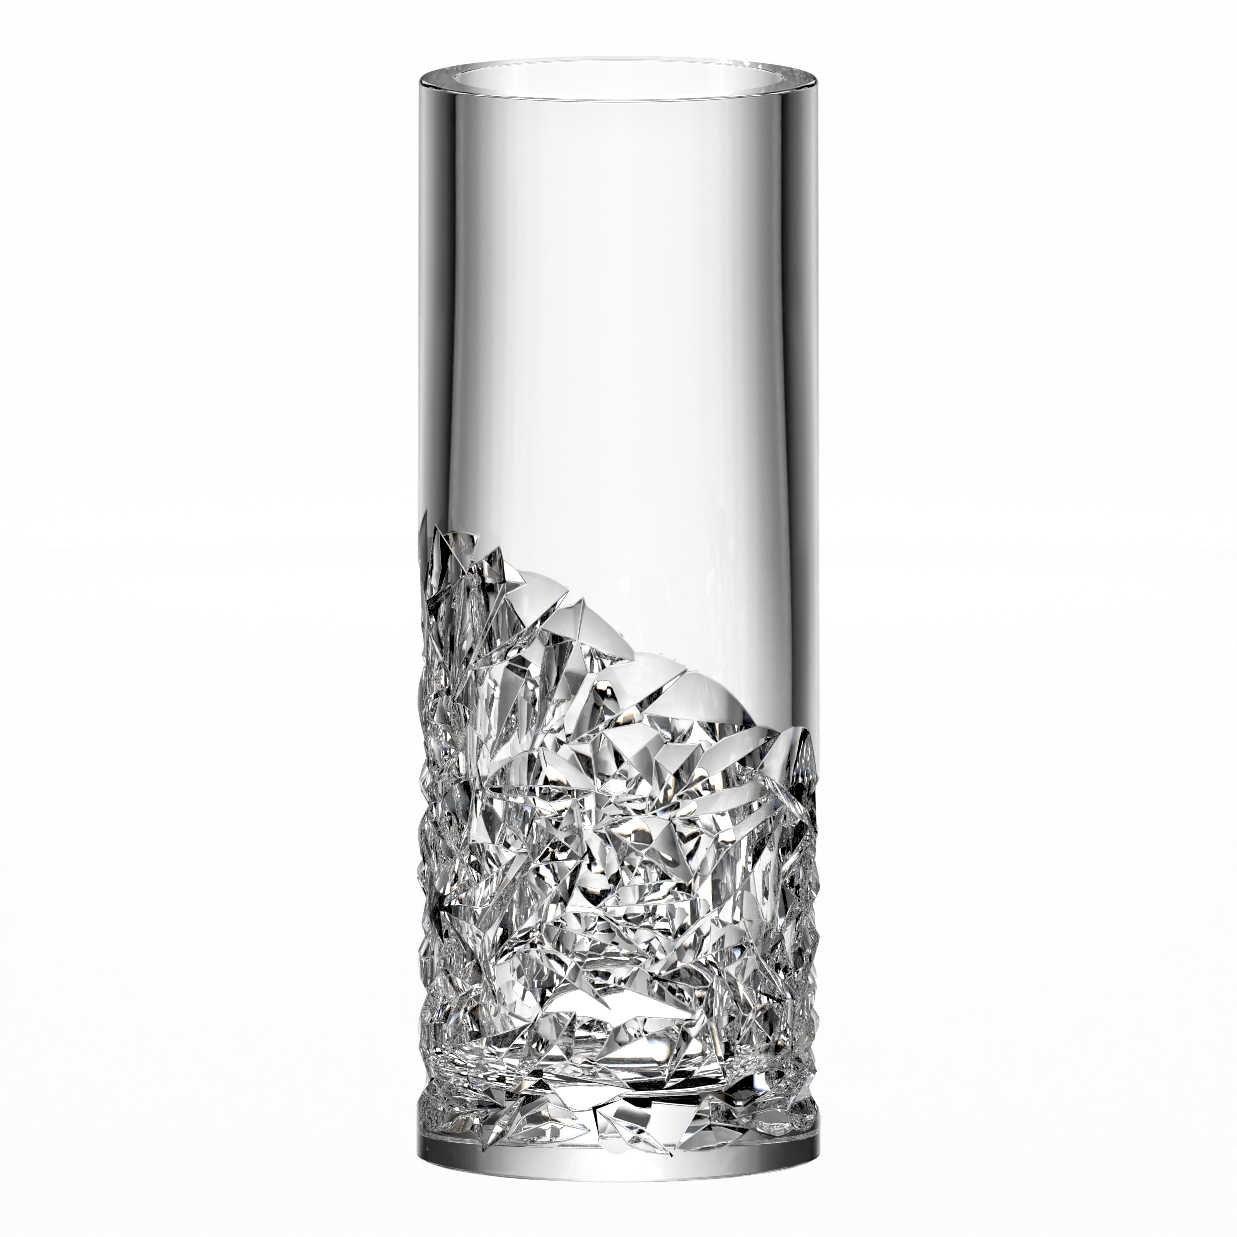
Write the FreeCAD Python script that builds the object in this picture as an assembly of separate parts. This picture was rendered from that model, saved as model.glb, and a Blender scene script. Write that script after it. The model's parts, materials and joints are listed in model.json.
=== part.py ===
"""Cut crystal vase: one heavy piece of clear glass with deep, crossing grooves cut into its lower half.

Frame: millimetres, +Z up, origin at the centre of the underside. Angles are in degrees about Z,
counted from -Y (the front) towards +X.
"""
import FreeCAD, Part
import math
import os
import random

# Blown body
HEIGHT = 352.0
FOOT_RADIUS = 65.75
RIM_RADIUS = 64.75
FOOT_FILLET = 1.2
RIM_OUTER_FILLET = 1.4
RIM_INNER_FILLET = 0.7

# Bore: wide and parallel at the bottom, drawing in smoothly to a thicker wall at the rim
FLOOR_THICKNESS = 26.0
FLOOR_CORNER_RADIUS = 14.0
LOWER_BORE_RADIUS = 56.3
UPPER_BORE_RADIUS = 52.8
TAPER_START = 150.0
TAPER_END = 300.0

# Cut zone: its upper boundary is the barrel's section by a slanted plane, lower again at the back
CUT_MIDDLE = 166.0
CUT_SLANT = 48.0
CUT_TURN = 10.0
CUT_BACK_DIP = 28.0
MEAN_RADIUS = 65.5
TOOL_CLEARANCE = 0.5
LEAST_SLOPE = 0.06
CUTS_AT_A_TIME = 8

# Grooves cut by hand over the front. Each row is the end where the groove runs out, its deepest
# point and its other end as (degrees, height), then how far its facets reach to the left and the
# right of the deepest point, and its depth there.
FRONT_GROOVES = [
    ((-80, 196), (-92, 178), (-102, 158), 12, 12, 4.8),
    ((-66, 210), (-56, 194), (-45, 164), 22, 7, 6.3),
    ((-44, 208), (-56, 194), (-74, 180), 14, 7, 5.9),
    ((-36, 206), (-38, 194), (-60, 142), 9, 7, 5.6),
    ((-25, 194), (-38, 194), (-50, 196), 9, 10, 5.4),
    ((-14, 193), (-30, 179), (-50, 164), 19, 7, 6.6),
    ((-10, 191), (-13, 176), (-27, 136), 9, 9, 5.9),
    ((12, 167), (-13, 176), (-27, 181), 13, 9, 5.6),
    ((20, 167), (5, 155), (-14, 143), 19, 7, 6.6),
    ((46, 146), (21, 150), (0, 154), 16, 10, 6.3),
    ((53, 143), (36, 133), (15, 125), 14, 9, 6.6),
    ((40, 134), (64, 124), (88, 108), 9, 19, 6.3),
    ((102, 121), (86, 111), (70, 100), 13, 9, 6.1),
    ((-9, 152), (3, 137), (12, 126), 14, 17, 6.3),
    ((26, 145), (17, 132), (8, 120), 13, 7, 6.3),
    ((52, 124), (36, 119), (10, 118), 13, 10, 5.9),
    ((-6, 128), (-22, 128), (-42, 127), 14, 7, 6.1),
    ((-12, 118), (-26, 121), (-41, 124), 7, 12, 5.6),
    ((-33, 122), (-20, 112), (-8, 104), 10, 17, 6.3),
    ((-8, 109), (-22, 92), (-42, 68), 10, 9, 6.1),
    ((10, 73), (-8, 79), (-26, 85), 9, 13, 6.1),
    ((-32, 76), (-17, 66), (2, 53), 12, 10, 6.3),
    ((-16, 69), (2, 63), (25, 53), 13, 9, 6.1),
    ((46, 78), (30, 73), (9, 66), 13, 9, 6.1),
    ((21, 53), (8, 47), (-8, 39), 12, 13, 6.1),
    ((29, 72), (31, 52), (34, 26), 9, 7, 6.1),
    ((29, 71), (42, 62), (58, 53), 10, 12, 5.9),
    ((57, 57), (47, 50), (35, 43), 9, 10, 5.6),
    ((33, 60), (24, 46), (13, 31), 9, 9, 6.1),
    ((37, 86), (50, 70), (67, 53), 9, 10, 6.1),
    ((-5, 117), (8, 106), (23, 95), 12, 14, 6.1),
    ((58, 121), (36, 106), (8, 76), 12, 9, 6.3),
    ((30, 93), (15, 90), (-6, 90), 13, 12, 6.1),
    ((-74, 176), (-66, 157), (-55, 132), 12, 12, 6.1),
    ((-46, 152), (-60, 138), (-76, 120), 13, 9, 6.1),
    ((-44, 134), (-55, 113), (-68, 92), 10, 10, 6.1),
    ((-76, 112), (-62, 102), (-44, 92), 12, 12, 6.1),
    ((-30, 106), (-44, 97), (-60, 86), 12, 10, 5.9),
    ((-62, 84), (-50, 70), (-36, 54), 10, 13, 6.3),
    ((-44, 62), (-60, 56), (-78, 48), 10, 10, 6.1),
    ((-24, 52), (-40, 46), (-58, 40), 12, 9, 6.1),
    ((-10, 60), (-20, 44), (-32, 28), 10, 10, 6.1),
    ((-28, 38), (-12, 33), (6, 30), 10, 9, 5.9),
    ((-88, 144), (-80, 128), (-72, 108), 12, 12, 6.1),
    ((-92, 92), (-80, 80), (-66, 66), 12, 12, 6.1),
    ((72, 104), (62, 92), (50, 76), 12, 10, 6.1),
    ((92, 96), (80, 84), (64, 70), 10, 13, 6.1),
    ((82, 60), (70, 46), (58, 30), 12, 10, 6.1),
    ((62, 40), (48, 34), (30, 28), 10, 10, 5.9),
    ((-118, 176), (-92, 171), (-68, 160), 10, 9, 5.0),
    ((-112, 152), (-90, 158), (-70, 168), 8, 8, 4.2),
    ((-114, 146), (-91, 140), (-68, 136), 8, 9, 4.4),
    ((-70, 122), (-91, 128), (-112, 130), 7, 8, 4.4),
    ((-116, 108), (-90, 115), (-66, 119), 9, 9, 5.2),
    ((-112, 104), (-92, 101), (-70, 94), 7, 8, 4.4),
    ((-116, 86), (-90, 81), (-64, 78), 11, 9, 5.4),
    ((-110, 64), (-91, 71), (-72, 80), 8, 8, 4.6),
    ((-114, 52), (-90, 51), (-66, 57), 11, 9, 5.0),
    ((-116, 34), (-91, 29), (-66, 26), 12, 11, 6.0),
    ((68, 122), (90, 113), (114, 112), 9, 9, 4.8),
    ((66, 92), (90, 97), (112, 101), 9, 9, 5.0),
    ((112, 84), (91, 79), (68, 80), 8, 8, 4.8),
    ((66, 60), (90, 65), (114, 66), 11, 9, 5.6),
    ((112, 48), (91, 52), (70, 46), 8, 8, 4.6),
    ((66, 38), (90, 34), (114, 35), 11, 9, 5.0),
    ((70, 26), (91, 21), (112, 24), 9, 9, 5.2),
]

# Leaves cut by hand along the front of the foot, in the same form
FRONT_FOOT_GROOVES = [
    ((-48, 32.0), (-46, 18.5), (-42, 10.6), 5.5, 4.5, 3.2),
    ((-7.9, 17.0), (-20.5, 19.0), (-32.6, 13.4), 10, 6.7, 3.5),
    ((-27.3, 27.8), (-35.5, 16.0), (-41.6, 8.4), 2.6, 3.0, 2.6),
    ((40.6, 15.6), (28.4, 18.1), (16.3, 11.1), 11, 8.2, 3.5),
    ((14.9, 9.0), (4.5, 16.0), (-6.2, 23.7), 3.2, 4.2, 2.6),
]

# The back carries the same run of grooves the other way round, each a little out of place
BACK_SEED = 5
BACK_TURN = 200.0
BACK_LIMIT = 78.0
BACK_SHIFT = 5.0
BACK_LIFT = 4.0
LOWEST_GROOVE_END = 22.0

# Shallow flats that take the blown surface away between the grooves
FLATS_SEED = 2
FLATS_TRIES = 6000
FLATS_SPACING = 23.0
FLATS_LOWEST = 24.0
FLATS_BELOW_EDGE = 34.0
FLAT_LEANS = (20.0, 80.0)
FLAT_REACHES_AHEAD = (22.0, 28.0)
FLAT_REACH_BEHIND = 24.0
LEAST_REACH_AHEAD = 14.0
FLAT_LOWEST_END = 9.0
FLAT_SIDES = (13.0, 17.0)
FLAT_DEPTHS = (1.1, 1.7)

# Scallops along the foot
SCALLOPS_SEED = 3
SCALLOPS = 15
FRONT_FOOT_LIMIT = 40.0
SCALLOP_HEIGHT = 20.0
SCALLOP_HALF_ANGLE = 19.0
SCALLOP_SHIFT = 5.0
SCALLOP_LEAN = 6.0
SCALLOP_END_DROP = 1.0
SCALLOP_REACHES_UP = (8.0, 11.0)
SCALLOP_REACHES_DOWN = (7.0, 10.0)
SCALLOP_DEPTHS = (3.8, 4.8)


def outer_radius(z):
    return FOOT_RADIUS + (RIM_RADIUS - FOOT_RADIUS) * z / HEIGHT


def back_dip(angle):
    return CUT_BACK_DIP * max(0.0, -math.cos(math.radians(angle)))


def cut_edge(angle):
    """Height of the cut zone's slanted upper boundary."""
    return CUT_MIDDLE - CUT_SLANT * math.sin(math.radians(angle - CUT_TURN)) - back_dip(angle)


def arc_to_angle(arc):
    return math.degrees(arc / MEAN_RADIUS)


def on_barrel(angle, z, depth=0.0):
    turn = math.radians(angle)
    r = outer_radius(z) - depth
    return FreeCAD.Vector(r * math.sin(turn), -r * math.cos(turn), z)


def fillet_arc(centre_x, centre_z, radius, start, end):
    """Edge of a fillet in the XZ half-plane, from one angle to another."""
    middle = (start + end) / 2
    points = []
    for angle in (start, middle, end):
        turn = math.radians(angle)
        x = centre_x + radius * math.cos(turn)
        z = centre_z + radius * math.sin(turn)
        points.append(FreeCAD.Vector(x, 0, z))
    return Part.Arc(*points).toShape()


def joined_profile(curves, start):
    """Wire through the given edges in order, with straight lines from start and between them."""
    edges = []
    here = start
    for curve in curves + [None]:
        target = curve.valueAt(curve.FirstParameter) if curve else start
        if here.distanceToPoint(target) > 1e-6:
            edges.append(Part.makeLine(here, target))
        if curve:
            edges.append(curve)
            here = curve.valueAt(curve.LastParameter)
    return Part.Wire(edges)


def blown_body():
    """The vase before cutting: a solid of revolution with a deep bore and a thick floor."""
    foot = fillet_arc(outer_radius(FOOT_FILLET) - FOOT_FILLET, FOOT_FILLET, FOOT_FILLET, -90, 0)
    rim_outside = fillet_arc(
        RIM_RADIUS - RIM_OUTER_FILLET, HEIGHT - RIM_OUTER_FILLET, RIM_OUTER_FILLET, 0, 90)
    rim_inside = fillet_arc(
        UPPER_BORE_RADIUS + RIM_INNER_FILLET, HEIGHT - RIM_INNER_FILLET, RIM_INNER_FILLET, 90, 180)
    third = (TAPER_END - TAPER_START) / 3
    taper = Part.BezierCurve()
    taper.setPoles([
        FreeCAD.Vector(UPPER_BORE_RADIUS, 0, TAPER_END),
        FreeCAD.Vector(UPPER_BORE_RADIUS, 0, TAPER_END - third),
        FreeCAD.Vector(LOWER_BORE_RADIUS, 0, TAPER_START + third),
        FreeCAD.Vector(LOWER_BORE_RADIUS, 0, TAPER_START),
    ])
    floor_corner = fillet_arc(
        LOWER_BORE_RADIUS - FLOOR_CORNER_RADIUS, FLOOR_THICKNESS + FLOOR_CORNER_RADIUS,
        FLOOR_CORNER_RADIUS, 0, -90)
    floor_line = Part.makeLine(
        floor_corner.valueAt(floor_corner.LastParameter), FreeCAD.Vector(0, 0, FLOOR_THICKNESS))
    curves = [foot, rim_outside, rim_inside, taper.toShape(), floor_corner, floor_line]
    face = Part.Face(joined_profile(curves, FreeCAD.Vector(0, 0, 0)))
    return face.revolve(FreeCAD.Vector(0, 0, 0), FreeCAD.Vector(0, 0, 1), 360)


def groove_tool(end, deepest, other_end, left, right, depth):
    """Solid that one groove removes: four planes that meet at its deepest point.

    It is a pyramid standing on its tip. Its edges run from the deepest point up to the two ends
    of the groove and to the two sides, and on until they are clear of the glass.
    """
    turn = math.radians(deepest[0])
    outward = FreeCAD.Vector(math.sin(turn), -math.cos(turn), 0)
    tip = on_barrel(deepest[0], deepest[1], depth)
    along = MEAN_RADIUS * math.radians(end[0] - other_end[0])
    up = end[1] - other_end[1]
    length = math.hypot(along, up)

    def side(reach):
        return on_barrel(deepest[0] - arc_to_angle(reach * up / length), deepest[1] + reach * along / length)

    corners = []
    for target in (on_barrel(*end), side(left), on_barrel(*other_end), side(-right)):
        ray = target - tip
        rise = ray.dot(outward)
        sideways = ray - outward * rise
        rise = max(rise, LEAST_SLOPE * sideways.Length)
        corners.append(tip + (sideways + outward * rise) * ((depth + TOOL_CLEARANCE) / rise))
    faces = [Part.Face(Part.makePolygon(corners + corners[:1]))]
    for first, second in zip(corners, corners[1:] + corners[:1]):
        faces.append(Part.Face(Part.makePolygon([tip, first, second, tip])))
    solid = Part.Solid(Part.Shell(faces))
    if solid.Volume < 0:
        solid.reverse()
    return solid


def back_grooves():
    draw = random.Random(BACK_SEED)
    grooves = []
    for end, deepest, other_end, left, right, depth in FRONT_GROOVES:
        if abs(deepest[0]) >= BACK_LIMIT:
            continue
        shift = draw.uniform(-BACK_SHIFT, BACK_SHIFT)
        lift = draw.uniform(-BACK_LIFT, BACK_LIFT)
        twist = draw.uniform(-BACK_SHIFT, BACK_SHIFT)
        moved = []
        for (angle, z), turn in ((end, twist), (deepest, 0), (other_end, -twist)):
            angle = BACK_TURN - angle + shift + turn
            dip = back_dip(angle) * z / (cut_edge(angle) + back_dip(angle))
            moved.append((angle, max(LOWEST_GROOVE_END, z + lift - dip)))
        grooves.append((*moved, right, left, depth))
    return grooves


def scattered_points(draw):
    """Points (arc, height) over the cut zone, no two closer than the flats' spacing."""
    points = []
    around = 2 * math.pi * MEAN_RADIUS
    for _ in range(FLATS_TRIES):
        arc = draw.uniform(-around / 2, around / 2)
        top = cut_edge(arc_to_angle(arc)) - FLATS_BELOW_EDGE
        z = draw.uniform(FLATS_LOWEST, top)
        gaps = [(abs(arc - a), z - b) for a, b in points]
        if all(math.hypot(min(da, around - da), dz) >= FLATS_SPACING for da, dz in gaps):
            points.append((arc, z))
    return points


def flats():
    draw = random.Random(FLATS_SEED)
    grooves = []
    for arc, z in scattered_points(draw):
        lean = math.radians(draw.uniform(*FLAT_LEANS))
        room = cut_edge(arc_to_angle(arc)) - LEAST_REACH_AHEAD - z
        ahead = min(draw.uniform(*FLAT_REACHES_AHEAD), max(LEAST_REACH_AHEAD, room))
        behind = min(FLAT_REACH_BEHIND, z - FLAT_LOWEST_END)
        ends = []
        for reach in (ahead, 0, -behind):
            ends.append((arc_to_angle(arc + reach * math.cos(lean)), z + reach * math.sin(lean)))
        left = draw.uniform(*FLAT_SIDES)
        right = draw.uniform(*FLAT_SIDES)
        grooves.append((*ends, left, right, draw.uniform(*FLAT_DEPTHS)))
    return grooves


def foot_scallops():
    draw = random.Random(SCALLOPS_SEED)
    grooves = []
    for index in range(SCALLOPS):
        angle = index * 360 / SCALLOPS + draw.uniform(-SCALLOP_SHIFT, SCALLOP_SHIFT)
        lean = draw.uniform(-SCALLOP_LEAN, SCALLOP_LEAN)
        end = (angle + SCALLOP_HALF_ANGLE, SCALLOP_HEIGHT - SCALLOP_END_DROP + lean)
        other_end = (angle - SCALLOP_HALF_ANGLE, SCALLOP_HEIGHT - SCALLOP_END_DROP - lean)
        left = draw.uniform(*SCALLOP_REACHES_UP)
        right = draw.uniform(*SCALLOP_REACHES_DOWN)
        depth = draw.uniform(*SCALLOP_DEPTHS)
        if FRONT_FOOT_LIMIT < angle < 360 - FRONT_FOOT_LIMIT:
            grooves.append((end, (angle, SCALLOP_HEIGHT), other_end, left, right, depth))
    return grooves


def vase_body():
    grooves = FRONT_GROOVES + FRONT_FOOT_GROOVES + back_grooves() + flats() + foot_scallops()
    tools = [groove_tool(*groove) for groove in grooves]
    body = blown_body()
    for first in range(0, len(tools), CUTS_AT_A_TIME):
        body = body.cut(tools[first:first + CUTS_AT_A_TIME])
    return body.Solids[0]


def main():
    os.makedirs("parts", exist_ok=True)
    body = vase_body()
    body.exportStep("parts/vase_body.step")
    print("vase_body: %d faces, %.0f cm3, valid %s" % (len(body.Faces), body.Volume / 1000, body.isValid()))


main()
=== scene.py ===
"""Looks of the cut crystal vase: its glass as a fine mesh, a clear crystal material and a pale studio.

The glass is drawn in millimetres, as in the CAD part, and turned into metres when its mesh is made.
Angles are in degrees about Z, counted from -Y (the front) towards +X.
"""
import json
import math
import random

import bmesh
import bpy
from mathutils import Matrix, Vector

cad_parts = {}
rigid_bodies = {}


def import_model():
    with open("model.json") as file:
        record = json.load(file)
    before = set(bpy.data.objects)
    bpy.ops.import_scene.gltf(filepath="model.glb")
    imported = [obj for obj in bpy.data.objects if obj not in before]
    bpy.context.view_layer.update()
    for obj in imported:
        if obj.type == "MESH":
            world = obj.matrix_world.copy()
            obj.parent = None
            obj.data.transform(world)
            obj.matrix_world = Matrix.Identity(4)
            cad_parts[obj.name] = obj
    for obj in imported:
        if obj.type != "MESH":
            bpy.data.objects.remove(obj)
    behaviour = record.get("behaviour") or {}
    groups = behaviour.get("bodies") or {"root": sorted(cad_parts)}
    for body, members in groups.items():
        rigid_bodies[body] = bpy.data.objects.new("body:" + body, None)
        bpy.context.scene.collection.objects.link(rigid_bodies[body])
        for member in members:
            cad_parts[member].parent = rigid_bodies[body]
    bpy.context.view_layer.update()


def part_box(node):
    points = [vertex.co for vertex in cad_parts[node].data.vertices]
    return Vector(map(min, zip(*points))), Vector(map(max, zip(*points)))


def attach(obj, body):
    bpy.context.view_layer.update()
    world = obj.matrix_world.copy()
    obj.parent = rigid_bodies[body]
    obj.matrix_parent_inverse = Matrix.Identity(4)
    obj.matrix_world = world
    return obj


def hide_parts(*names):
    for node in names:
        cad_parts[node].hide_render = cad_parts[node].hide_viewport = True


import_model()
cad_low, cad_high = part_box("vase_body")
MM = 0.001

# Blown body
HEIGHT = (cad_high.z - cad_low.z) / MM
FOOT_RADIUS = 65.75
RIM_RADIUS = 64.75
FOOT_FILLET = 1.2
RIM_OUTER_FILLET = 1.4
RIM_INNER_FILLET = 0.7
FLOOR_THICKNESS = 26.0
FLOOR_CORNER_RADIUS = 14.0
LOWER_BORE_RADIUS = 56.3
UPPER_BORE_RADIUS = 52.8
TAPER_START = 150.0
TAPER_END = 300.0

# Fineness of the mesh
SEGMENTS = 360
WALL_RINGS = 115
WALL_RINGS_FROM = 4.0
WALL_RING_SPACING = 2.0
TAPER_STEPS = 30
FOOT_FILLET_STEPS = 10
RIM_OUTER_STEPS = 8
RIM_INNER_STEPS = 6
FLOOR_CORNER_STEPS = 16

# Cut zone: its upper boundary is the barrel's section by a slanted plane, lower again at the back
CUT_MIDDLE = 166.0
CUT_SLANT = 48.0
CUT_TURN = 10.0
CUT_BACK_DIP = 28.0
MEAN_RADIUS = 65.5
TOOL_CLEARANCE = 0.5
LEAST_SLOPE = 0.06

# The polish: corners closer than the weld are joined, and sharp enough ridges are rounded
WELD = 0.15
RIDGE_ROUNDING = 0.4
RIDGE_ANGLE = 9.0

# Grooves cut by hand over the front. Each row is the end where the groove runs out, its deepest
# point and its other end as (degrees, height), then how far its facets reach to the left and the
# right of the deepest point, and its depth there.
FRONT_GROOVES = [
    ((-80, 196), (-92, 178), (-102, 158), 12, 12, 4.8),
    ((-66, 210), (-56, 194), (-45, 164), 22, 7, 6.3),
    ((-44, 208), (-56, 194), (-74, 180), 14, 7, 5.9),
    ((-36, 206), (-38, 194), (-60, 142), 9, 7, 5.6),
    ((-25, 194), (-38, 194), (-50, 196), 9, 10, 5.4),
    ((-14, 193), (-30, 179), (-50, 164), 19, 7, 6.6),
    ((-10, 191), (-13, 176), (-27, 136), 9, 9, 5.9),
    ((12, 167), (-13, 176), (-27, 181), 13, 9, 5.6),
    ((20, 167), (5, 155), (-14, 143), 19, 7, 6.6),
    ((46, 146), (21, 150), (0, 154), 16, 10, 6.3),
    ((53, 143), (36, 133), (15, 125), 14, 9, 6.6),
    ((40, 134), (64, 124), (88, 108), 9, 19, 6.3),
    ((102, 121), (86, 111), (70, 100), 13, 9, 6.1),
    ((-9, 152), (3, 137), (12, 126), 14, 17, 6.3),
    ((26, 145), (17, 132), (8, 120), 13, 7, 6.3),
    ((52, 124), (36, 119), (10, 118), 13, 10, 5.9),
    ((-6, 128), (-22, 128), (-42, 127), 14, 7, 6.1),
    ((-12, 118), (-26, 121), (-41, 124), 7, 12, 5.6),
    ((-33, 122), (-20, 112), (-8, 104), 10, 17, 6.3),
    ((-8, 109), (-22, 92), (-42, 68), 10, 9, 6.1),
    ((10, 73), (-8, 79), (-26, 85), 9, 13, 6.1),
    ((-32, 76), (-17, 66), (2, 53), 12, 10, 6.3),
    ((-16, 69), (2, 63), (25, 53), 13, 9, 6.1),
    ((46, 78), (30, 73), (9, 66), 13, 9, 6.1),
    ((21, 53), (8, 47), (-8, 39), 12, 13, 6.1),
    ((29, 72), (31, 52), (34, 26), 9, 7, 6.1),
    ((29, 71), (42, 62), (58, 53), 10, 12, 5.9),
    ((57, 57), (47, 50), (35, 43), 9, 10, 5.6),
    ((33, 60), (24, 46), (13, 31), 9, 9, 6.1),
    ((37, 86), (50, 70), (67, 53), 9, 10, 6.1),
    ((-5, 117), (8, 106), (23, 95), 12, 14, 6.1),
    ((58, 121), (36, 106), (8, 76), 12, 9, 6.3),
    ((30, 93), (15, 90), (-6, 90), 13, 12, 6.1),
    ((-74, 176), (-66, 157), (-55, 132), 12, 12, 6.1),
    ((-46, 152), (-60, 138), (-76, 120), 13, 9, 6.1),
    ((-44, 134), (-55, 113), (-68, 92), 10, 10, 6.1),
    ((-76, 112), (-62, 102), (-44, 92), 12, 12, 6.1),
    ((-30, 106), (-44, 97), (-60, 86), 12, 10, 5.9),
    ((-62, 84), (-50, 70), (-36, 54), 10, 13, 6.3),
    ((-44, 62), (-60, 56), (-78, 48), 10, 10, 6.1),
    ((-24, 52), (-40, 46), (-58, 40), 12, 9, 6.1),
    ((-10, 60), (-20, 44), (-32, 28), 10, 10, 6.1),
    ((-28, 38), (-12, 33), (6, 30), 10, 9, 5.9),
    ((-88, 144), (-80, 128), (-72, 108), 12, 12, 6.1),
    ((-92, 92), (-80, 80), (-66, 66), 12, 12, 6.1),
    ((72, 104), (62, 92), (50, 76), 12, 10, 6.1),
    ((92, 96), (80, 84), (64, 70), 10, 13, 6.1),
    ((82, 60), (70, 46), (58, 30), 12, 10, 6.1),
    ((62, 40), (48, 34), (30, 28), 10, 10, 5.9),
    ((-118, 176), (-92, 171), (-68, 160), 10, 9, 5.0),
    ((-112, 152), (-90, 158), (-70, 168), 8, 8, 4.2),
    ((-114, 146), (-91, 140), (-68, 136), 8, 9, 4.4),
    ((-70, 122), (-91, 128), (-112, 130), 7, 8, 4.4),
    ((-116, 108), (-90, 115), (-66, 119), 9, 9, 5.2),
    ((-112, 104), (-92, 101), (-70, 94), 7, 8, 4.4),
    ((-116, 86), (-90, 81), (-64, 78), 11, 9, 5.4),
    ((-110, 64), (-91, 71), (-72, 80), 8, 8, 4.6),
    ((-114, 52), (-90, 51), (-66, 57), 11, 9, 5.0),
    ((-116, 34), (-91, 29), (-66, 26), 12, 11, 6.0),
    ((68, 122), (90, 113), (114, 112), 9, 9, 4.8),
    ((66, 92), (90, 97), (112, 101), 9, 9, 5.0),
    ((112, 84), (91, 79), (68, 80), 8, 8, 4.8),
    ((66, 60), (90, 65), (114, 66), 11, 9, 5.6),
    ((112, 48), (91, 52), (70, 46), 8, 8, 4.6),
    ((66, 38), (90, 34), (114, 35), 11, 9, 5.0),
    ((70, 26), (91, 21), (112, 24), 9, 9, 5.2),
]

# Leaves cut by hand along the front of the foot, in the same form
FRONT_FOOT_GROOVES = [
    ((-48, 32.0), (-46, 18.5), (-42, 10.6), 5.5, 4.5, 3.2),
    ((-7.9, 17.0), (-20.5, 19.0), (-32.6, 13.4), 10, 6.7, 3.5),
    ((-27.3, 27.8), (-35.5, 16.0), (-41.6, 8.4), 2.6, 3.0, 2.6),
    ((40.6, 15.6), (28.4, 18.1), (16.3, 11.1), 11, 8.2, 3.5),
    ((14.9, 9.0), (4.5, 16.0), (-6.2, 23.7), 3.2, 4.2, 2.6),
]

# The back carries the same run of grooves the other way round, each a little out of place
BACK_SEED = 5
BACK_TURN = 200.0
BACK_LIMIT = 78.0
BACK_SHIFT = 5.0
BACK_LIFT = 4.0
LOWEST_GROOVE_END = 22.0

# Shallow flats that take the blown surface away between the grooves
FLATS_SEED = 2
FLATS_TRIES = 6000
FLATS_SPACING = 23.0
FLATS_LOWEST = 24.0
FLATS_BELOW_EDGE = 34.0
FLAT_LEANS = (20.0, 80.0)
FLAT_REACHES_AHEAD = (22.0, 28.0)
FLAT_REACH_BEHIND = 24.0
LEAST_REACH_AHEAD = 14.0
FLAT_LOWEST_END = 9.0
FLAT_SIDES = (13.0, 17.0)
FLAT_DEPTHS = (1.1, 1.7)

# Scallops along the foot
SCALLOPS_SEED = 3
SCALLOPS = 15
FRONT_FOOT_LIMIT = 40.0
SCALLOP_HEIGHT = 20.0
SCALLOP_HALF_ANGLE = 19.0
SCALLOP_SHIFT = 5.0
SCALLOP_LEAN = 6.0
SCALLOP_END_DROP = 1.0
SCALLOP_REACHES_UP = (8.0, 11.0)
SCALLOP_REACHES_DOWN = (7.0, 10.0)
SCALLOP_DEPTHS = (3.8, 4.8)

# Mesh tolerances, in millimetres and degrees
ON_SURFACE = 0.01
SPECK = 0.01
SAME_PLANE_ANGLE = 0.05

# Shading: the radius that parts the outside from the bore, and how far a facet's normals lean in
# towards its middle, per metre from it
OUTSIDE_BORE = LOWER_BORE_RADIUS + 1.0
FACET_HOLLOW = 8.0

WHITE = (1, 1, 1, 1)

# Clear lead crystal. Each finish is the scale and height of its waves and of its polishing marks.
CRYSTAL_IOR = 1.54
BARREL_FINISH = (14.0, 0.003, 160.0, 0.0)
FACET_FINISH = (50.0, 0.6, 400.0, 0.01)
WAVE_DETAIL = 1.0
MARK_DETAIL = 3.0
HAZE_FROM = 0.55
HAZE_TO = 0.8
HAZE_ROUGHNESS = 0.03

# Camera, a long lens a little above the vase. From here on in metres and degrees.
LENS = 1000.0
SENSOR = 36.0
FAR_CLIP = 100.0
CAMERA_ELEVATION = 7.3
FRAME_HEIGHT = 0.4012
AIM = Vector((0, 0, 0.1755))
PIXEL_FILTER = 0.9
BLACK_POINT = 0.018
MOST_BOUNCES = 24
MOST_REFLECTIONS = 12

# Room and floor
ROOM_STRENGTH = 1.16
FLOOR_HALF = 30.0
FLOOR_GAP = 0.0002
FLOOR_COLOUR = (0.85, 0.85, 0.85, 1)
FLOOR_ROUGHNESS = 0.9

# A mix node has several sockets of one name, so its colour sockets are picked by number
MIX_FIRST = 6
MIX_SECOND = 7
MIX_RESULT = 2

# Light tent. A turn is the angle either way from straight behind the vase, and a level is a height
# on the tent from -1 at its bottom to 1 at its top.
TENT_RADIUS = 1.6
TENT_STRENGTH = 1.14
TENT_SEGMENTS = 96
TENT_RINGS = 48
COLD = (0.72, 0.84, 1.15)
WARM = (1.18, 0.98, 0.74)
LIT = 1.25
SIDE = 0.7
DIM = 0.8
GAP = 0.08
BLACK = 0.001
RIM_LIGHT = 1.75

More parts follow.
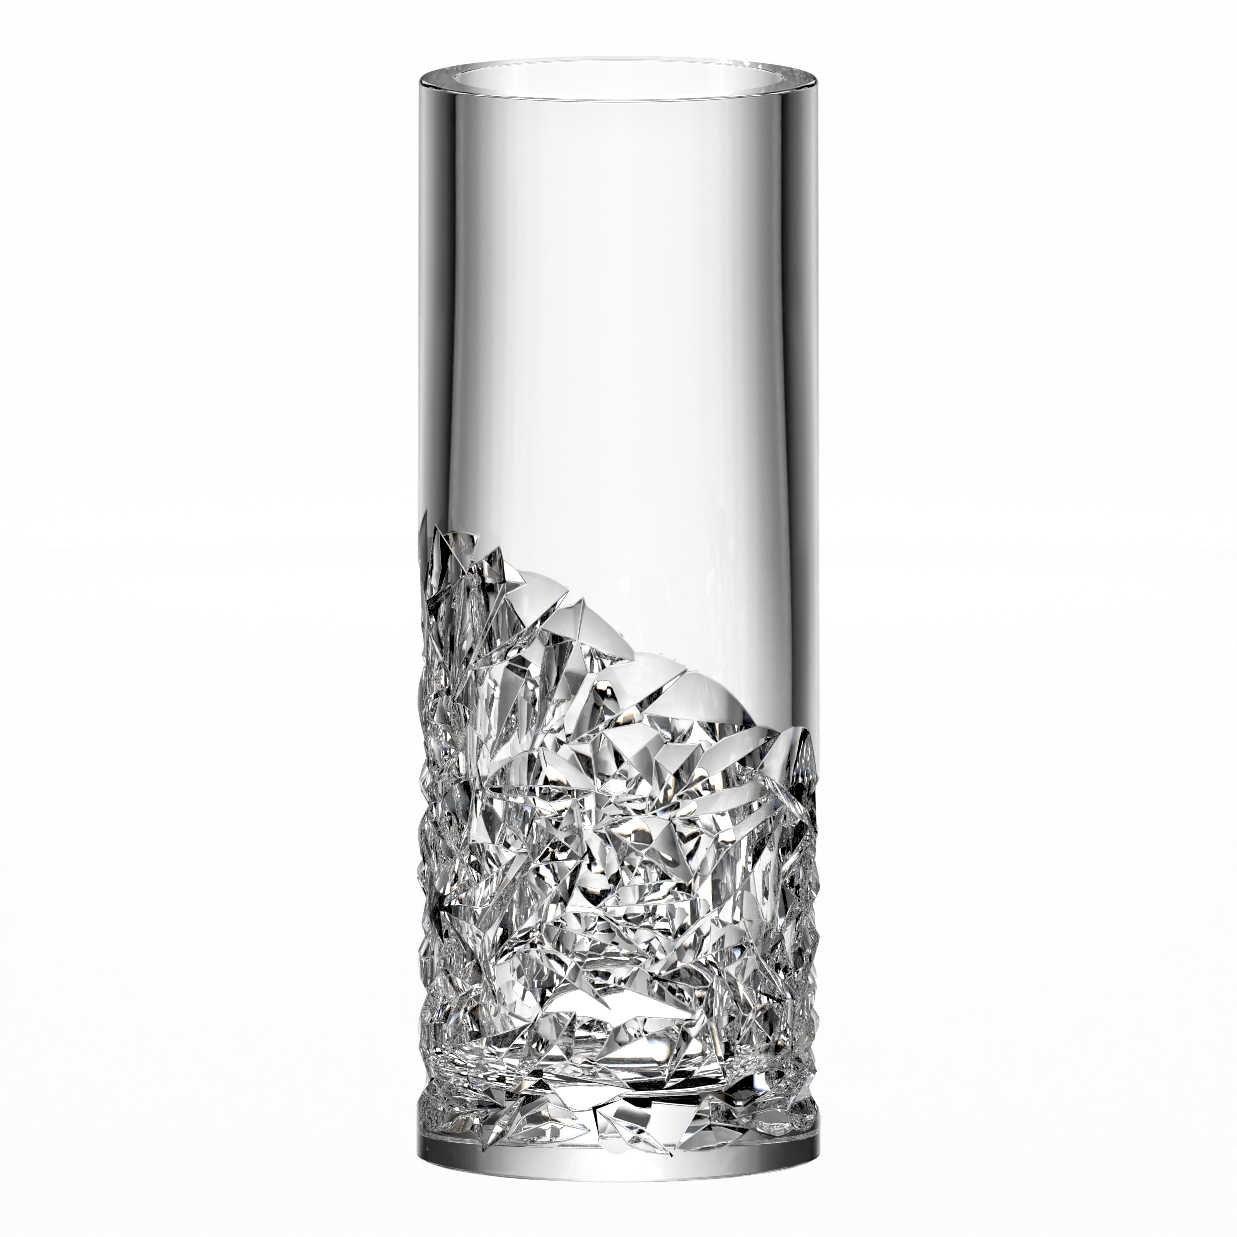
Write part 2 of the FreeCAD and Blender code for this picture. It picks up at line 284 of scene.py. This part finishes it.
# The sheet fades to its sides, faster above than below, and darkens towards its top
SHEET_NARROWS = [(-1, 0), (-0.225, 0), (-0.0625, 1), (0.02, 1), (0.035, 0), (1, 0)]
SHEET_UPPER = [
    (0, 1.0), (4.6, 0.97), (6.4, 0.91), (9, 0.77), (12, 0.58), (15, 0.43), (19, 0.31), (29, 0.145),
    (38, 0.094), (46, 0.056), (50, 0.028), (60, BLACK), (92, BLACK), (96, SIDE), (106, SIDE),
    (110, BLACK), (180, BLACK)]
SHEET_LOWER = [
    (0, 1.0), (7, 0.95), (12, 0.81), (16, 0.72), (20, 0.61), (24, 0.45), (28, 0.25), (31, 0.17),
    (34, 0.12), (37, 0.085), (40, 0.065), (45, 0.052), (62, 0.045), (70, BLACK), (92, BLACK),
    (96, SIDE), (106, SIDE), (110, BLACK), (180, BLACK)]
SHEET_SHADE = [
    (-1, 1.0), (-0.0118, 1.0), (-0.0039, 0.92), (0.0039, 0.92), (0.0118, 1.0), (0.03, 1.0),
    (0.06, 0.90), (0.10, 0.78), (0.15, 0.6), (0.19, 0.45), (1, 0.3)]
SHEET_LEVELS = [(-1, 0), (-0.275, 0), (-0.260, 1), (0.18, 1), (0.19, 0), (1, 0)]

# The panels above and below the sheet have tinted edges, in place of the crystal's dispersion
PANEL_TURNS = [
    (0, LIT), (20, LIT), (21, WARM), (22.5, BLACK), (36, BLACK), (37, COLD), (38, LIT), (54, LIT),
    (55, WARM), (56.5, BLACK), (63, BLACK), (65, LIT), (78, LIT), (80, BLACK), (92, BLACK),
    (94, LIT), (108, LIT), (110, BLACK), (150, BLACK), (152, DIM), (180, DIM)]
PANEL_LEVELS = [
    (-1, BLACK), (-0.80, BLACK), (-0.78, WARM), (-0.77, LIT), (-0.66, LIT), (-0.65, COLD),
    (-0.63, BLACK), (-0.52, BLACK), (-0.51, WARM), (-0.50, LIT), (-0.39, LIT), (-0.38, COLD),
    (-0.37, GAP), (-0.29, GAP), (0.26, BLACK), (0.27, WARM), (0.28, LIT), (0.38, LIT), (0.39, COLD),
    (0.40, BLACK), (0.49, BLACK), (0.50, WARM), (0.51, LIT), (0.64, LIT), (0.65, COLD),
    (0.66, BLACK), (0.80, BLACK), (0.84, LIT), (1, LIT)]

# A narrow lamp whose reflection lies on the rim's flat top
RIM_LAMP_TURNS = [
    (0, RIM_LIGHT), (1.5, RIM_LIGHT), (2.1, 0.2 * RIM_LIGHT), (2.8, 0.02), (3.5, 0), (180, 0)]
RIM_LAMP_LEVELS = [(-1, 0), (0.203, 0), (0.2187, 1), (0.234, 1), (0.242, 0), (1, 0)]


def outer_radius(z):
    return FOOT_RADIUS + (RIM_RADIUS - FOOT_RADIUS) * z / HEIGHT


def back_dip(angle):
    return CUT_BACK_DIP * max(0.0, -math.cos(math.radians(angle)))


def cut_edge(angle):
    """Height of the cut zone's slanted upper boundary."""
    return CUT_MIDDLE - CUT_SLANT * math.sin(math.radians(angle - CUT_TURN)) - back_dip(angle)


def arc_to_angle(arc):
    return math.degrees(arc / MEAN_RADIUS)


def on_barrel(angle, z, depth=0.0):
    turn = math.radians(angle)
    r = outer_radius(z) - depth
    return Vector((r * math.sin(turn), -r * math.cos(turn), z))


def back_grooves():
    draw = random.Random(BACK_SEED)
    grooves = []
    for end, deepest, other_end, left, right, depth in FRONT_GROOVES:
        if abs(deepest[0]) >= BACK_LIMIT:
            continue
        shift = draw.uniform(-BACK_SHIFT, BACK_SHIFT)
        lift = draw.uniform(-BACK_LIFT, BACK_LIFT)
        twist = draw.uniform(-BACK_SHIFT, BACK_SHIFT)
        moved = []
        for (angle, z), turn in ((end, twist), (deepest, 0), (other_end, -twist)):
            angle = BACK_TURN - angle + shift + turn
            dip = back_dip(angle) * z / (cut_edge(angle) + back_dip(angle))
            moved.append((angle, max(LOWEST_GROOVE_END, z + lift - dip)))
        grooves.append((*moved, right, left, depth))
    return grooves


def scattered_points(draw):
    """Points (arc, height) over the cut zone, no two closer than the flats' spacing."""
    points = []
    around = 2 * math.pi * MEAN_RADIUS
    for _ in range(FLATS_TRIES):
        arc = draw.uniform(-around / 2, around / 2)
        top = cut_edge(arc_to_angle(arc)) - FLATS_BELOW_EDGE
        z = draw.uniform(FLATS_LOWEST, top)
        gaps = [(abs(arc - a), z - b) for a, b in points]
        if all(math.hypot(min(da, around - da), dz) >= FLATS_SPACING for da, dz in gaps):
            points.append((arc, z))
    return points


def flats():
    draw = random.Random(FLATS_SEED)
    grooves = []
    for arc, z in scattered_points(draw):
        lean = math.radians(draw.uniform(*FLAT_LEANS))
        room = cut_edge(arc_to_angle(arc)) - LEAST_REACH_AHEAD - z
        ahead = min(draw.uniform(*FLAT_REACHES_AHEAD), max(LEAST_REACH_AHEAD, room))
        behind = min(FLAT_REACH_BEHIND, z - FLAT_LOWEST_END)
        ends = []
        for reach in (ahead, 0, -behind):
            ends.append((arc_to_angle(arc + reach * math.cos(lean)), z + reach * math.sin(lean)))
        left = draw.uniform(*FLAT_SIDES)
        right = draw.uniform(*FLAT_SIDES)
        grooves.append((*ends, left, right, draw.uniform(*FLAT_DEPTHS)))
    return grooves


def foot_scallops():
    draw = random.Random(SCALLOPS_SEED)
    grooves = []
    for index in range(SCALLOPS):
        angle = index * 360 / SCALLOPS + draw.uniform(-SCALLOP_SHIFT, SCALLOP_SHIFT)
        lean = draw.uniform(-SCALLOP_LEAN, SCALLOP_LEAN)
        end = (angle + SCALLOP_HALF_ANGLE, SCALLOP_HEIGHT - SCALLOP_END_DROP + lean)
        other_end = (angle - SCALLOP_HALF_ANGLE, SCALLOP_HEIGHT - SCALLOP_END_DROP - lean)
        left = draw.uniform(*SCALLOP_REACHES_UP)
        right = draw.uniform(*SCALLOP_REACHES_DOWN)
        depth = draw.uniform(*SCALLOP_DEPTHS)
        if FRONT_FOOT_LIMIT < angle < 360 - FRONT_FOOT_LIMIT:
            grooves.append((end, (angle, SCALLOP_HEIGHT), other_end, left, right, depth))
    return grooves


def fillet_arc(centre_r, centre_z, radius, start, end, steps):
    """Points (radius, height) along a fillet, from one angle to another."""
    points = []
    for step in range(steps + 1):
        turn = math.radians(start + (end - start) * step / steps)
        points.append((centre_r + radius * math.cos(turn), centre_z + radius * math.sin(turn)))
    return points


def profile():
    """The uncut glass's outline from the underside's centre, up the outside and down the bore."""
    outline = [(0.0, 0.0)]
    outline += fillet_arc(
        outer_radius(FOOT_FILLET) - FOOT_FILLET, FOOT_FILLET, FOOT_FILLET, -90, 0,
        FOOT_FILLET_STEPS)
    for ring in range(WALL_RINGS):
        z = WALL_RINGS_FROM + ring * WALL_RING_SPACING
        outline.append((outer_radius(z), z))
    outline += fillet_arc(
        RIM_RADIUS - RIM_OUTER_FILLET, HEIGHT - RIM_OUTER_FILLET, RIM_OUTER_FILLET, 0, 90,
        RIM_OUTER_STEPS)
    outline += fillet_arc(
        UPPER_BORE_RADIUS + RIM_INNER_FILLET, HEIGHT - RIM_INNER_FILLET, RIM_INNER_FILLET, 90,
        180, RIM_INNER_STEPS)
    for step in range(TAPER_STEPS + 1):
        share = step / TAPER_STEPS
        widening = (LOWER_BORE_RADIUS - UPPER_BORE_RADIUS) * share * share * (3 - 2 * share)
        outline.append((UPPER_BORE_RADIUS + widening, TAPER_END - (TAPER_END - TAPER_START) * share))
    outline += fillet_arc(
        LOWER_BORE_RADIUS - FLOOR_CORNER_RADIUS, FLOOR_THICKNESS + FLOOR_CORNER_RADIUS,
        FLOOR_CORNER_RADIUS, 0, -90, FLOOR_CORNER_STEPS)
    outline.append((0.0, FLOOR_THICKNESS))
    return outline


def blown_body():
    """The glass before cutting, as a closed mesh of revolution."""
    mesh = bmesh.new()
    rings = []
    for r, z in profile():
        if r == 0:
            rings.append([mesh.verts.new((0, 0, z * MM))])
            continue
        ring = []
        for index in range(SEGMENTS):
            turn = 2 * math.pi * index / SEGMENTS
            ring.append(mesh.verts.new((r * math.sin(turn) * MM, -r * math.cos(turn) * MM, z * MM)))
        rings.append(ring)
    for first, second in zip(rings, rings[1:]):
        for index in range(SEGMENTS):
            after = (index + 1) % SEGMENTS
            corners = [first[index % len(first)], first[after % len(first)]]
            corners += [second[after % len(second)], second[index % len(second)]]
            mesh.faces.new(list(dict.fromkeys(corners)))
    bmesh.ops.recalc_face_normals(mesh, faces=mesh.faces)
    return mesh


def groove_tool(end, deepest, other_end, left, right, depth):
    """Corners of the solid that one groove removes: its deepest point, then four beyond the glass."""
    turn = math.radians(deepest[0])
    outward = Vector((math.sin(turn), -math.cos(turn), 0))
    tip = on_barrel(deepest[0], deepest[1], depth)
    along = MEAN_RADIUS * math.radians(end[0] - other_end[0])
    up = end[1] - other_end[1]
    length = math.hypot(along, up)

    def side(reach):
        angle = deepest[0] - arc_to_angle(reach * up / length)
        return on_barrel(angle, deepest[1] + reach * along / length)

    corners = [tip]
    for target in (on_barrel(*end), side(left), on_barrel(*other_end), side(-right)):
        ray = target - tip
        rise = ray.dot(outward)
        sideways = ray - outward * rise
        rise = max(rise, LEAST_SLOPE * sideways.length)
        corners.append(tip + (sideways + outward * rise) * ((depth + TOOL_CLEARANCE) / rise))
    return corners


def mesh_object(name, mesh, collection, *materials):
    data = bpy.data.meshes.new(name)
    mesh.to_mesh(data)
    mesh.free()
    for material in materials:
        data.materials.append(material)
    piece = bpy.data.objects.new(name, data)
    collection.objects.link(piece)
    return piece


def tool_object(index, corners, collection, material):
    mesh = bmesh.new()
    tip, *rim = [mesh.verts.new(corner * MM) for corner in corners]
    mesh.faces.new(rim)
    for first, second in zip(rim, rim[1:] + rim[:1]):
        mesh.faces.new((tip, first, second))
    bmesh.ops.recalc_face_normals(mesh, faces=mesh.faces)
    return mesh_object(f"groove_tool_{index}", mesh, collection, material)


def cut(body, tools):
    """Takes every tool's solid out of the body in one boolean, then removes the tools."""
    boolean = body.modifiers.new("grooves", "BOOLEAN")
    boolean.operation = "DIFFERENCE"
    boolean.operand_type = "COLLECTION"
    boolean.collection = tools
    boolean.solver = "MANIFOLD"
    boolean.material_mode = "TRANSFER"
    graph = bpy.context.evaluated_depsgraph_get()
    blown = body.data
    body.data = bpy.data.meshes.new_from_object(body.evaluated_get(graph))
    body.modifiers.clear()
    bpy.data.meshes.remove(blown)
    for tool in list(tools.objects):
        bpy.data.meshes.remove(tool.data)
    bpy.data.collections.remove(tools)


def polish(body):
    """Cleans the cut mesh and rounds its ridges. Returns the indices of the rounded faces."""
    facets = body.data.materials.find("crystal_facets")
    mesh = bmesh.new()
    mesh.from_mesh(body.data)
    bmesh.ops.remove_doubles(mesh, verts=mesh.verts, dist=WELD * MM)
    bmesh.ops.dissolve_degenerate(mesh, edges=mesh.edges, dist=SPECK * MM)
    cut_edges = []
    for edge in mesh.edges:
        if all(face.material_index == facets for face in edge.link_faces):
            cut_edges.append(edge)
    bmesh.ops.dissolve_limit(mesh, angle_limit=math.radians(SAME_PLANE_ANGLE), verts=[], edges=cut_edges)
    ridges = []
    for edge in mesh.edges:
        on_cut = any(face.material_index == facets for face in edge.link_faces)
        if on_cut and edge.calc_face_angle(0) > math.radians(RIDGE_ANGLE):
            ridges.append(edge)
    rounded = bmesh.ops.bevel(
        mesh, geom=ridges, offset=RIDGE_ROUNDING * MM, offset_type="OFFSET", segments=1,
        affect="EDGES", clamp_overlap=False)
    for face in rounded["faces"]:
        face.material_index = facets
    for face in mesh.faces:
        face.smooth = True
    for edge in mesh.edges:
        edge.smooth = all(face.material_index != facets for face in edge.link_faces)
    mesh.faces.index_update()
    rounded_faces = {face.index for face in rounded["faces"]}
    for vertex in mesh.verts:
        limit = outer_radius(vertex.co.z / MM) * MM
        if vertex.co.xy.length > limit:
            vertex.co.xy *= limit / vertex.co.xy.length
        for axis in (0, 1):
            vertex.co[axis] = min(max(vertex.co[axis], cad_low[axis]), cad_high[axis])
    mesh.to_mesh(body.data)
    mesh.free()
    return rounded_faces


def blown_normal(point):
    """The exact normal at a point on a straight or flat part of the uncut glass, or None elsewhere."""
    z = point.z / MM
    if z < ON_SURFACE:
        return Vector((0, 0, -1))
    if z > HEIGHT - ON_SURFACE:
        return Vector((0, 0, 1))
    outward = Vector((point.x, point.y, 0)).normalized()
    if point.xy.length > OUTSIDE_BORE * MM:
        on_wall = FOOT_FILLET - ON_SURFACE < z < HEIGHT - RIM_OUTER_FILLET + ON_SURFACE
        return outward if on_wall else None
    if z < FLOOR_THICKNESS + ON_SURFACE:
        return Vector((0, 0, 1))
    in_lower_bore = FLOOR_THICKNESS + FLOOR_CORNER_RADIUS - ON_SURFACE < z < TAPER_START + ON_SURFACE
    in_upper_bore = TAPER_END - ON_SURFACE < z < HEIGHT - RIM_INNER_FILLET + ON_SURFACE
    return -outward if in_lower_bore or in_upper_bore else None


def set_normals(body, ridges):
    """Gives facets slightly hollow normals, the barrel exact ones, and ridges a turn between them."""
    data = body.data
    facets = data.materials.find("crystal_facets")
    normals = [Vector(normal.vector) for normal in data.corner_normals]
    around = {}
    for face in data.polygons:
        if face.index in ridges:
            continue
        for corner in face.loop_indices:
            vertex = data.loops[corner].vertex_index
            if face.material_index == facets:
                lean = (data.vertices[vertex].co - face.center) * FACET_HOLLOW
                normals[corner] = (face.normal - lean).normalized()
            else:
                normals[corner] = blown_normal(data.vertices[vertex].co) or normals[corner]
            around.setdefault(vertex, Vector()).xyz += normals[corner]
    for index in ridges:
        face = data.polygons[index]
        for corner in face.loop_indices:
            vertex = data.loops[corner].vertex_index
            normals[corner] = around.get(vertex, face.normal).normalized()
    exact = data.attributes.new("custom_normal", "FLOAT_VECTOR", "CORNER")
    exact.data.foreach_set("vector", [number for normal in normals for number in normal])
    data.update()


def crystal(name, wave_scale, wave_height, mark_scale, mark_height):
    """Clear lead crystal with the faint waves and polishing marks of its surface."""
    material = bpy.data.materials.new(name)
    material.use_nodes = True
    nodes = material.node_tree.nodes
    links = material.node_tree.links
    glass = nodes["Principled BSDF"]
    glass.inputs["Base Color"].default_value = WHITE
    glass.inputs["IOR"].default_value = CRYSTAL_IOR
    glass.inputs["Transmission Weight"].default_value = 1.0
    place = nodes.new("ShaderNodeTexCoord")
    normal = None
    waves = (wave_scale, WAVE_DETAIL, wave_height)
    polishing = (mark_scale, MARK_DETAIL, mark_height)
    for scale, detail, height in (waves, polishing):
        noise = nodes.new("ShaderNodeTexNoise")
        noise.inputs["Scale"].default_value = scale
        noise.inputs["Detail"].default_value = detail
        links.new(place.outputs["Object"], noise.inputs["Vector"])
        bump = nodes.new("ShaderNodeBump")
        bump.inputs["Distance"].default_value = MM
        bump.inputs["Strength"].default_value = height
        links.new(noise.outputs["Fac"], bump.inputs["Height"])
        if normal:
            links.new(normal, bump.inputs["Normal"])
        normal = bump.outputs["Normal"]
    links.new(normal, glass.inputs["Normal"])
    marks = noise
    haze = nodes.new("ShaderNodeMapRange")
    haze.inputs["From Min"].default_value = HAZE_FROM
    haze.inputs["From Max"].default_value = HAZE_TO
    haze.inputs["To Max"].default_value = HAZE_ROUGHNESS
    links.new(marks.outputs["Fac"], haze.inputs["Value"])
    links.new(haze.outputs["Result"], glass.inputs["Roughness"])
    return material


def vase():
    barrel = crystal("crystal_barrel", *BARREL_FINISH)
    facets = crystal("crystal_facets", *FACET_FINISH)
    scene = bpy.context.scene
    piece = mesh_object("vase_glass", blown_body(), scene.collection, barrel, facets)
    tools = bpy.data.collections.new("groove_tools")
    scene.collection.children.link(tools)
    grooves = FRONT_GROOVES + FRONT_FOOT_GROOVES + back_grooves() + flats() + foot_scallops()
    for index, groove in enumerate(grooves):
        tool_object(index, groove_tool(*groove), tools, facets)
    cut(piece, tools)
    set_normals(piece, polish(piece))
    piece.visible_diffuse = False
    piece.visible_shadow = False
    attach(piece, "root")
    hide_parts("vase_body")


def camera():
    """A long lens a little above the vase, as in a catalogue picture."""
    data = bpy.data.cameras.new("camera")
    data.lens = LENS
    data.sensor_width = SENSOR
    data.clip_end = FAR_CLIP
    view = bpy.data.objects.new("camera", data)
    bpy.context.scene.collection.objects.link(view)
    tilt = math.radians(CAMERA_ELEVATION)
    back = Vector((0, -math.cos(tilt), math.sin(tilt)))
    view.location = AIM + back * (FRAME_HEIGHT * LENS / SENSOR)
    view.rotation_euler = back.to_track_quat("Z", "Y").to_euler()
    bpy.context.scene.camera = view
    return view


def floor():
    half = FLOOR_HALF
    mesh = bmesh.new()
    corners = [(-half, -half, 0), (half, -half, 0), (half, half, 0), (-half, half, 0)]
    mesh.faces.new([mesh.verts.new(corner) for corner in corners])
    paper = bpy.data.materials.new("floor_paper")
    paper.use_nodes = True
    surface = paper.node_tree.nodes["Principled BSDF"]
    surface.inputs["Base Color"].default_value = FLOOR_COLOUR
    surface.inputs["Roughness"].default_value = FLOOR_ROUGHNESS
    plane = mesh_object("floor", mesh, bpy.context.scene.collection, paper)
    plane.location.z = cad_low.z - FLOOR_GAP
    plane.visible_transmission = False
    plane.visible_glossy = False


def colour_ramp(tree, position, stops):
    """A colour by position from 0 to 1; a stop's colour may be given as one brightness."""
    ramp = tree.nodes.new("ShaderNodeValToRGB")
    tree.links.new(position, ramp.inputs["Fac"])
    elements = ramp.color_ramp.elements
    for place, _ in stops[1:-1]:
        elements.new(place)
    for element, (place, colour) in zip(elements, stops):
        element.position = place
        element.color = (*colour, 1) if isinstance(colour, tuple) else (colour, colour, colour, 1)
    return ramp.outputs["Color"]


def by_angle(stops):
    return [(angle / 180, colour) for angle, colour in stops]


def by_level(stops):
    return [((level + 1) / 2, colour) for level, colour in stops]


def mixed(tree, blend, factor, first, second):
    mix = tree.nodes.new("ShaderNodeMix")
    mix.data_type = "RGBA"
    mix.blend_type = blend
    if factor is None:
        mix.inputs["Factor"].default_value = 1.0
    else:
        tree.links.new(factor, mix.inputs["Factor"])
    tree.links.new(first, mix.inputs[MIX_FIRST])
    tree.links.new(second, mix.inputs[MIX_SECOND])
    return mix.outputs[MIX_RESULT]


def tent_glow():
    """The tent's light: a sheet that fades to its sides, and hard-edged panels above and below it."""
    material = bpy.data.materials.new("light_tent")
    material.use_nodes = True
    tree = material.node_tree
    tree.nodes.clear()
    output = tree.nodes.new("ShaderNodeOutputMaterial")
    glow = tree.nodes.new("ShaderNodeEmission")
    glow.inputs["Strength"].default_value = TENT_STRENGTH
    place = tree.nodes.new("ShaderNodeTexCoord")
    split = tree.nodes.new("ShaderNodeSeparateXYZ")
    tree.links.new(place.outputs["Object"], split.inputs["Vector"])
    turn = split.outputs["X"]
    for operation, other in (("ARCTAN2", split.outputs["Y"]), ("ABSOLUTE", None), ("DIVIDE", None)):
        step = tree.nodes.new("ShaderNodeMath")
        step.operation = operation
        step.inputs[1].default_value = math.pi
        tree.links.new(turn, step.inputs[0])
        if other:
            tree.links.new(other, step.inputs[1])
        turn = step.outputs["Value"]
    level = tree.nodes.new("ShaderNodeMapRange")
    level.inputs["From Min"].default_value = -TENT_RADIUS
    level.inputs["From Max"].default_value = TENT_RADIUS
    tree.links.new(split.outputs["Z"], level.inputs["Value"])
    level = level.outputs["Result"]
    lower = colour_ramp(tree, turn, by_angle(SHEET_LOWER))
    upper = colour_ramp(tree, turn, by_angle(SHEET_UPPER))
    sheet = mixed(tree, "MIX", colour_ramp(tree, level, by_level(SHEET_NARROWS)), lower, upper)
    sheet = mixed(tree, "MULTIPLY", None, sheet, colour_ramp(tree, level, by_level(SHEET_SHADE)))
    panels = mixed(
        tree, "MULTIPLY", None, colour_ramp(tree, turn, by_angle(PANEL_TURNS)),
        colour_ramp(tree, level, by_level(PANEL_LEVELS)))
    behind = colour_ramp(tree, level, by_level(SHEET_LEVELS))
    rim_lamp = mixed(
        tree, "MULTIPLY", None, colour_ramp(tree, turn, by_angle(RIM_LAMP_TURNS)),
        colour_ramp(tree, level, by_level(RIM_LAMP_LEVELS)))
    tent = mixed(tree, "MIX", behind, panels, sheet)
    tree.links.new(mixed(tree, "ADD", None, tent, rim_lamp), glow.inputs["Color"])
    tree.links.new(glow.outputs["Emission"], output.inputs["Surface"])
    return material


def light_tent(view):
    """A tent round the vase: glowing white sheets behind it and black flags to its sides.

    It stays square to the camera, as a studio does when the vase is turned on its stand, and only
    the glass sees it.
    """
    mesh = bmesh.new()
    bmesh.ops.create_uvsphere(mesh, u_segments=TENT_SEGMENTS, v_segments=TENT_RINGS, radius=TENT_RADIUS)
    for face in mesh.faces:
        face.smooth = True
    tent = mesh_object("light_tent", mesh, bpy.context.scene.collection, tent_glow())
    tent.location = AIM
    tent.visible_camera = False
    tent.visible_diffuse = False
    tent.visible_shadow = False
    bpy.context.view_layer.update()
    place_in_world = tent.matrix_world.copy()
    tent.parent = view
    tent.matrix_world = place_in_world


def studio():
    scene = bpy.context.scene
    scene.view_settings.view_transform = "Standard"
    scene.cycles.max_bounces = MOST_BOUNCES
    scene.cycles.transmission_bounces = MOST_BOUNCES
    scene.cycles.glossy_bounces = MOST_REFLECTIONS
    scene.cycles.filter_width = PIXEL_FILTER
    scene.view_settings.use_curve_mapping = True
    scene.view_settings.curve_mapping.black_level = (BLACK_POINT,) * 3
    scene.view_settings.curve_mapping.update()
    world = bpy.data.worlds.new("studio")
    world.use_nodes = True
    world.node_tree.nodes["Background"].inputs["Color"].default_value = WHITE
    world.node_tree.nodes["Background"].inputs["Strength"].default_value = ROOM_STRENGTH
    scene.world = world
    floor()
    light_tent(camera())


vase()
studio()
